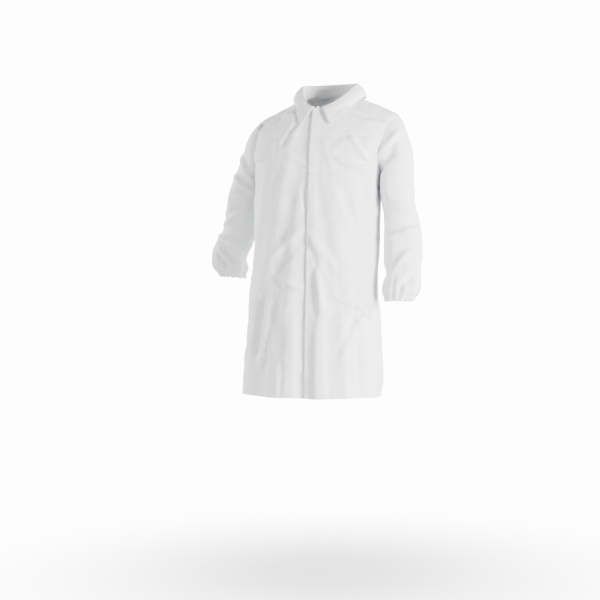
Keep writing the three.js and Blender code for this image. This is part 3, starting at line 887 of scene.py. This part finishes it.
# each ring of the cuff and of the elastic: how far past the wrist, and its share of the wrist
CASING = [(0, 1), (0.005, 0.985), (0.011, 0.95), (0.016, 0.885), (0.0175, 0.85),
          (0.016, 0.815), (0.010, 0.86), (0.003, 0.90)]
BAND = [(0.004, 0.93), (0.008, 0.91), (0.013, 0.875)]


def ring_normals(grid, outward):
    index = np.arange(grid.shape[0] * grid.shape[1]).reshape(grid.shape[:2])
    normals = vertex_normals(grid.reshape(-1, 3), grid_faces(index, ring=True).tolist())
    if sum(np.dot(n, outward(p)) for n, p in zip(normals[::97], grid.reshape(-1, 3)[::97])) < 0:
        normals = -normals
    return normals.reshape(grid.shape)


def rings_at(ring, centre, axis, steps):
    """Copies of a ring of points, moved along an axis and scaled about its centre."""
    return np.array([centre + (ring - centre) * scale + axis * along for along, scale in steps])


def sleeves():
    """Each sleeve in two parts, its gathered cuff, elastic and stitches."""
    for side in SIDES:
        centres = SHAPED[f"{side}_sleeve"].mean(axis=1)
        count = SHAPED[f"{side}_sleeve"].shape[1]
        turn = 2 * math.pi * np.arange(count) / count
        wave = np.sin(GATHERS * turn + 1.4 * np.sin(3 * turn + (1 if side == "left" else 2)))
        run = np.concatenate([[0], np.linalg.norm(np.diff(centres, axis=0), axis=1).cumsum()])
        gathered = GATHER_HEIGHT * ramp(0.085, 0.0, run[-1] - run)[:, None] * wave
        seam = ARMHOLE_RIDGE * ramp(0.000, 0.012, run) * ramp(0.05, 0.02, run)
        grid = layer(f"{side}_sleeve", seam[:, None] + gathered)
        out_x, out_z, in_x, in_z, y, _ = SLEEVES[side][SPLIT_RING]
        elbow = np.array([(out_x + in_x) / 2, y, (out_z + in_z) / 2])
        split = int(np.argmin(np.linalg.norm(centres - elbow, axis=1)))
        looking = lambda p: p - centres[np.argmin(np.linalg.norm(centres - p, axis=1))]
        shade = ring_normals(grid, looking)
        for part, rows, fold in (("upper", slice(0, split + 1), SLEEVE_BLEND[side]),
                                 ("lower", slice(split, None), ELBOW_BLEND[side])):
            piece = cloth_piece(f"{side}_sleeve_{part}_cloth", grid[rows], looking, ring=True,
                                shading=shade[rows])
            bend(piece, fold, f"{side}_sleeve_{part}")
        body = f"{side}_lower_sleeve"
        wrist = grid[-1]
        centre = wrist.mean(axis=0)
        axis = centre - grid[-4].mean(axis=0)
        axis /= np.linalg.norm(axis)
        from_centre = lambda p: p - centre
        casing = upsample(rings_at(wrist, centre, axis, CASING), 2, True)
        casing = cloth_piece(f"{side}_cuff_cloth", casing, from_centre, ring=True)
        stand_for(casing, body, f"{side}_cuff_casing")
        band = cloth_piece(f"{side}_elastic_band", rings_at(wrist, centre, axis, BAND), from_centre,
                           ELASTIC, thickness=0.0011, ring=True)
        stand_for(band, body, f"{side}_wrist_elastic")
        closed = lambda ring: np.concatenate([ring, ring[:1]])
        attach(stitches(f"{side}_cuff_stitches", closed(grid[-2]), closed(shade[-2])), body)


# ------------------------------------------------------------------ collar
POINT_TURN = math.radians(120)
COLLAR_END = math.radians(172)
COLLAR_CLOTH = 0.0009
TIP = {"left": np.array([0.035, 0, -0.106]), "right": np.array([-0.058, 0, -0.106])}


def neck_round(turn, wide, back_depth, front_depth, z_back, z_side, z_front):
    c, s = np.cos(turn), np.sin(turn)
    front = np.maximum(0, -c)
    return np.stack([wide * s + NOTCH[0] * front ** 3,
                     np.where(c > 0, back_depth * c, front_depth * c),
                     np.where(c > 0, z_side + (z_back - z_side) * c,
                              z_side + (z_front - z_side) * front ** 1.5)], axis=-1)


NECKLINE = (0.0765, 0.0600, 0.0920, 0.010, 0.000, NOTCH[2] - 0.0005)
FOLD = (0.089, 0.085, 0.101, 0.053, 0.040, NOTCH[2] + 0.004)
LEAF = (0.119, 0.098, 0.098, -0.006, -0.004, -0.072)


def on_chest(surface, p, clear):
    """y of the chest at p's x and z, less a clearance."""
    grid = np.concatenate([surface[s][SEAM_ROW:].reshape(-1, 3) for s in SIDES])
    far = np.linalg.norm(grid[:, [0, 2]] - np.asarray(p)[[0, 2]], axis=1)
    near = np.argsort(far)[:6]
    share = 1 / (far[near] + 0.002)
    return float((grid[near, 1] * share).sum() / share.sum()) - clear


def collar(surface):
    """The stand, both leaves with their stitches, the neck tape and the label."""
    turns = np.linspace(-COLLAR_END, COLLAR_END, 97)
    low, high = neck_round(turns, *NECKLINE), neck_round(turns, *FOLD)
    inward = -np.stack([np.sin(turns), np.cos(turns), 0 * turns], axis=1)
    share = np.linspace(-0.12, 1.0, 9)[:, None, None]
    stand = low[None] * (1 - share) + high[None] * share + inward[None] * 0.0015
    level = lambda p: np.array([p[0], p[1], 0])
    piece = cloth_piece("collar_stand_cloth", stand, level, thickness=COLLAR_CLOTH)
    stand_for(piece, "root", "collar_stand")
    for side in SIDES:
        s = sign(side)
        tip = TIP[side].copy()
        tip[1] = on_chest(surface, tip, 0.006)
        turns = np.linspace(0, COLLAR_END, 49)
        top = neck_round(s * turns, *FOLD)
        edge = neck_round(s * turns, *LEAF)
        corner = neck_round(np.array([s * POINT_TURN]), *LEAF)[0]
        late = ramp(POINT_TURN - 0.15, COLLAR_END, turns)[:, None]
        straight = corner + (tip - corner) * np.clip((turns - POINT_TURN) / (COLLAR_END - POINT_TURN),
                                                     0, 1)[:, None]
        edge = np.where(turns[:, None] < POINT_TURN, edge, straight)
        t = np.linspace(0, 1, 15)[:, None, None]
        leaf = top[None] * (1 - t) + edge[None] * t
        out = np.stack([s * np.sin(turns), np.cos(turns), 0 * turns], axis=1)
        belly = 0.0015 + 0.0085 * np.sin(math.pi * np.clip(t * 1.05, 0, 1)) ** 0.8
        leaf = leaf + out[None] * belly * (1 - 0.45 * late[None])
        for i in range(1, leaf.shape[0]):
            for j in range(26, leaf.shape[1]):
                clear = 0.0035 + 0.004 * t[i, 0, 0]
                leaf[i, j, 1] = min(leaf[i, j, 1], on_chest(surface, leaf[i, j], clear))
        rough = 0.0010 * unrest(leaf.reshape(-1, 3), 0.045, 8).reshape(leaf.shape[:2])
        leaf = leaf + out[None] * (rough * ramp(0, 3, np.arange(15))[:, None])[..., None]
        piece = cloth_piece(f"{side}_collar_cloth", leaf,
                            lambda p: np.array([p[0], p[1] * 1.2, 0.02]), thickness=COLLAR_CLOTH)
        path = np.concatenate([leaf[-2, :-1], leaf[-2:0:-1, -2]])
        above = np.concatenate([out[:-1], np.repeat(out[-2:-1], 13, axis=0)])
        lines = stitches(f"{side}_collar_stitches", path + above * 0.0001, above)
        near = neck_round(np.array([math.pi]), *FOLD)[0] + np.array([s * 0.003, -0.004, -0.003])
        hinge = corner - near
        hinge /= np.linalg.norm(hinge)
        way = tip - near - hinge * np.dot(tip - near, hinge)
        way /= np.linalg.norm(way)
        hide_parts(f"{side}_collar_point", *(["collar_leaf"] if side == "left" else []))
        for obj in (piece, lines):
            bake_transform(obj)
    turns = np.linspace(-1.25, 1.25, 33)
    base = neck_round(turns, *NECKLINE)
    inward = -np.stack([np.sin(turns), np.cos(turns), 0 * turns], axis=1)
    tape = np.array([base + inward * 0.0040 + [0, 0, lift] for lift in (-0.006, 0.000, 0.006)])
    stand_for(cloth_piece("neck_tape_cloth", tape, level, TAPE), "root", "neck_tape")
    x, z = np.meshgrid(np.linspace(-0.017, 0.017, 9), np.linspace(-0.026, 0, 7))
    bow = 0.0014 * np.cos(x / 0.017 * 1.5)
    label = np.stack([x, BACK_NECK[1] - 0.0075 - 0.05 * z - bow, BACK_NECK[2] - 0.006 + z], axis=2)
    label = cloth_piece("neck_label_cloth", label, lambda p: np.array([0, -1.0, 0]), TAPE,
                        thickness=0.0004)
    stand_for(label, "root", "neck_label")


# ------------------------------------------------------------------ snaps
def lathe(name, profile, place, facing, sides=28):
    """A turned part: its profile as (radius, height), its base at `place`, its axis `facing`."""
    facing = np.asarray(facing) / np.linalg.norm(facing)
    across = np.cross(facing, [0, 0, 1.0])
    across /= np.linalg.norm(across)
    up = np.cross(across, facing)
    turn = 2 * math.pi * np.arange(sides) / sides
    rings = [place + facing * h + r * (np.cos(turn)[:, None] * across + np.sin(turn)[:, None] * up)
             for r, h in profile]
    index = np.arange(len(rings) * sides).reshape(len(rings), sides)
    faces = grid_faces(index, ring=True).tolist()
    faces += [list(index[0])[::-1], list(index[-1])]
    obj = new_mesh(name, np.concatenate(rings), faces, PLASTIC)
    return obj


CAP = [(0.0056, 0), (0.0056, 0.0006), (0.0053, 0.0011), (0.0046, 0.0016), (0.0034, 0.0019),
       (0.0031, 0.0017), (0.0016, 0.0018), (0.0002, 0.0018)]
STUD = [(0.0050, 0), (0.0050, 0.0006), (0.0046, 0.0009), (0.0021, 0.0010), (0.0017, 0.0012),
        (0.0019, 0.0019), (0.0016, 0.0024), (0.0002, 0.0025)]


def snaps(surface):
    x = NOTCH[0]
    for number, z in enumerate(SNAP_Z, 1):
        left = surface["left"].reshape(-1, 3)
        near = np.argsort(np.linalg.norm(left[:, [0, 2]] - [x, z], axis=1))[:4]
        y = left[near, 1].mean()
        facing = FACING_OUT["left_front"].reshape(-1, 3)[near].mean(axis=0)
        facing /= np.linalg.norm(facing)
        spot = np.array([x, y, z])
        parts = {
            "cap": ("left", CAP, spot + facing * 0.0001, facing),
            "socket": ("left", STUD[:5] + [(0.0028, 0.0014), (0.0026, 0.0006)],
                       spot - facing * 0.0021, -facing),
            "stud": ("right", STUD, spot - facing * (STEP + 0.0026), facing),
            "ring": ("right", CAP, spot - facing * (STEP + 0.0048), -facing),
        }
        for part, (side, profile, place, way) in parts.items():
            name = f"snap_{part}_{number}"
            obj = lathe(f"{name}_moulded", profile, place, way)
            if number == 1:
                stand_for(obj, "root", name)
            else:
                bend(obj, FRONT_BLEND[side], name)


# ------------------------------------------------------------------ assembly and set
front_surface = fronts()
back()
sleeves()
collar(front_surface)
snaps(front_surface)


def studio():
    """The floor, which fades out, the white glow behind the coat, and the lamps."""
    turn = np.linspace(0, 2 * math.pi, 96, endpoint=False)
    rim = np.stack([FLOOR_RADIUS * np.cos(turn), FLOOR_RADIUS * np.sin(turn), 0 * turn + FLOOR_Z], 1)
    floor = new_mesh("floor", rim, [range(len(turn))])
    paper, tree, surface = new_material(
        "pale_floor", {"Base Color": (0.9, 0.9, 0.9, 1), "Roughness": 0.9})
    place = add_node(tree, "TexCoord").outputs["Object"]
    flat = add_node(tree, "VectorMath", {0: place, 1: (1.0, 1.0, 0.0)}, operation="MULTIPLY")
    far = add_node(tree, "VectorMath", {0: flat.outputs["Vector"]}, operation="LENGTH")
    fade = add_node(tree, "MapRange", {"Value": far.outputs["Value"], "From Min": 0.1,
                                       "From Max": FLOOR_RADIUS}, interpolation_type="SMOOTHSTEP")
    clear = add_node(tree, "BsdfTransparent")
    mix = add_node(tree, "MixShader", {"Fac": fade.outputs["Result"], 1: surface.outputs["BSDF"],
                                       2: clear.outputs["BSDF"]})
    fill(tree, tree.nodes["Material Output"], {"Surface": mix.outputs["Shader"]})
    floor.data.materials.append(paper)
    world = bpy.data.worlds.new("studio")
    bpy.context.scene.world = world
    world.use_nodes = True
    tree = world.node_tree
    ahead = add_node(tree, "VectorMath", {0: add_node(tree, "TexCoord").outputs["Generated"],
                                          1: VIEW_WAY}, operation="DOT_PRODUCT")
    glow = dict(zip(("From Min", "From Max", "To Min", "To Max"), GLOW))
    glow = add_node(tree, "MapRange", {"Value": ahead.outputs["Value"], **glow},
                    interpolation_type="SMOOTHSTEP")
    fill(tree, tree.nodes["Background"], {"Strength": glow.outputs["Result"], "Color": (1, 1, 1, 1)})
    for name, place_at, size, power in LAMPS:
        lamp = bpy.data.objects.new(name, bpy.data.lights.new(name, "AREA"))
        bpy.context.scene.collection.objects.link(lamp)
        lamp.location = place_at
        lamp.data.shape = "DISK"
        lamp.data.size = size
        lamp.data.energy = power
        aim(lamp, (-0.05, 0, -0.5))


VIEW_WAY = (-0.309, 0.951, 0.0)  # the way that the camera looks
# cosines from that way where the white glow starts and is full, and its strength outside and inside
GLOW = (0.885, 0.947, 0.60, 14.0)
FLOOR_Z = -1.544
FLOOR_RADIUS = 1.5
LAMPS = [
    ("key", (3.6, -1.9, -0.5), 1.5, 800),
    ("fill", (-2.6, -3.0, -0.5), 1.8, 170),
    ("rim_left", (3.6, 1.3, 0.3), 0.9, 280),
    ("rim_right", (-3.3, 0.7, 0.5), 1.0, 210),
]
studio()
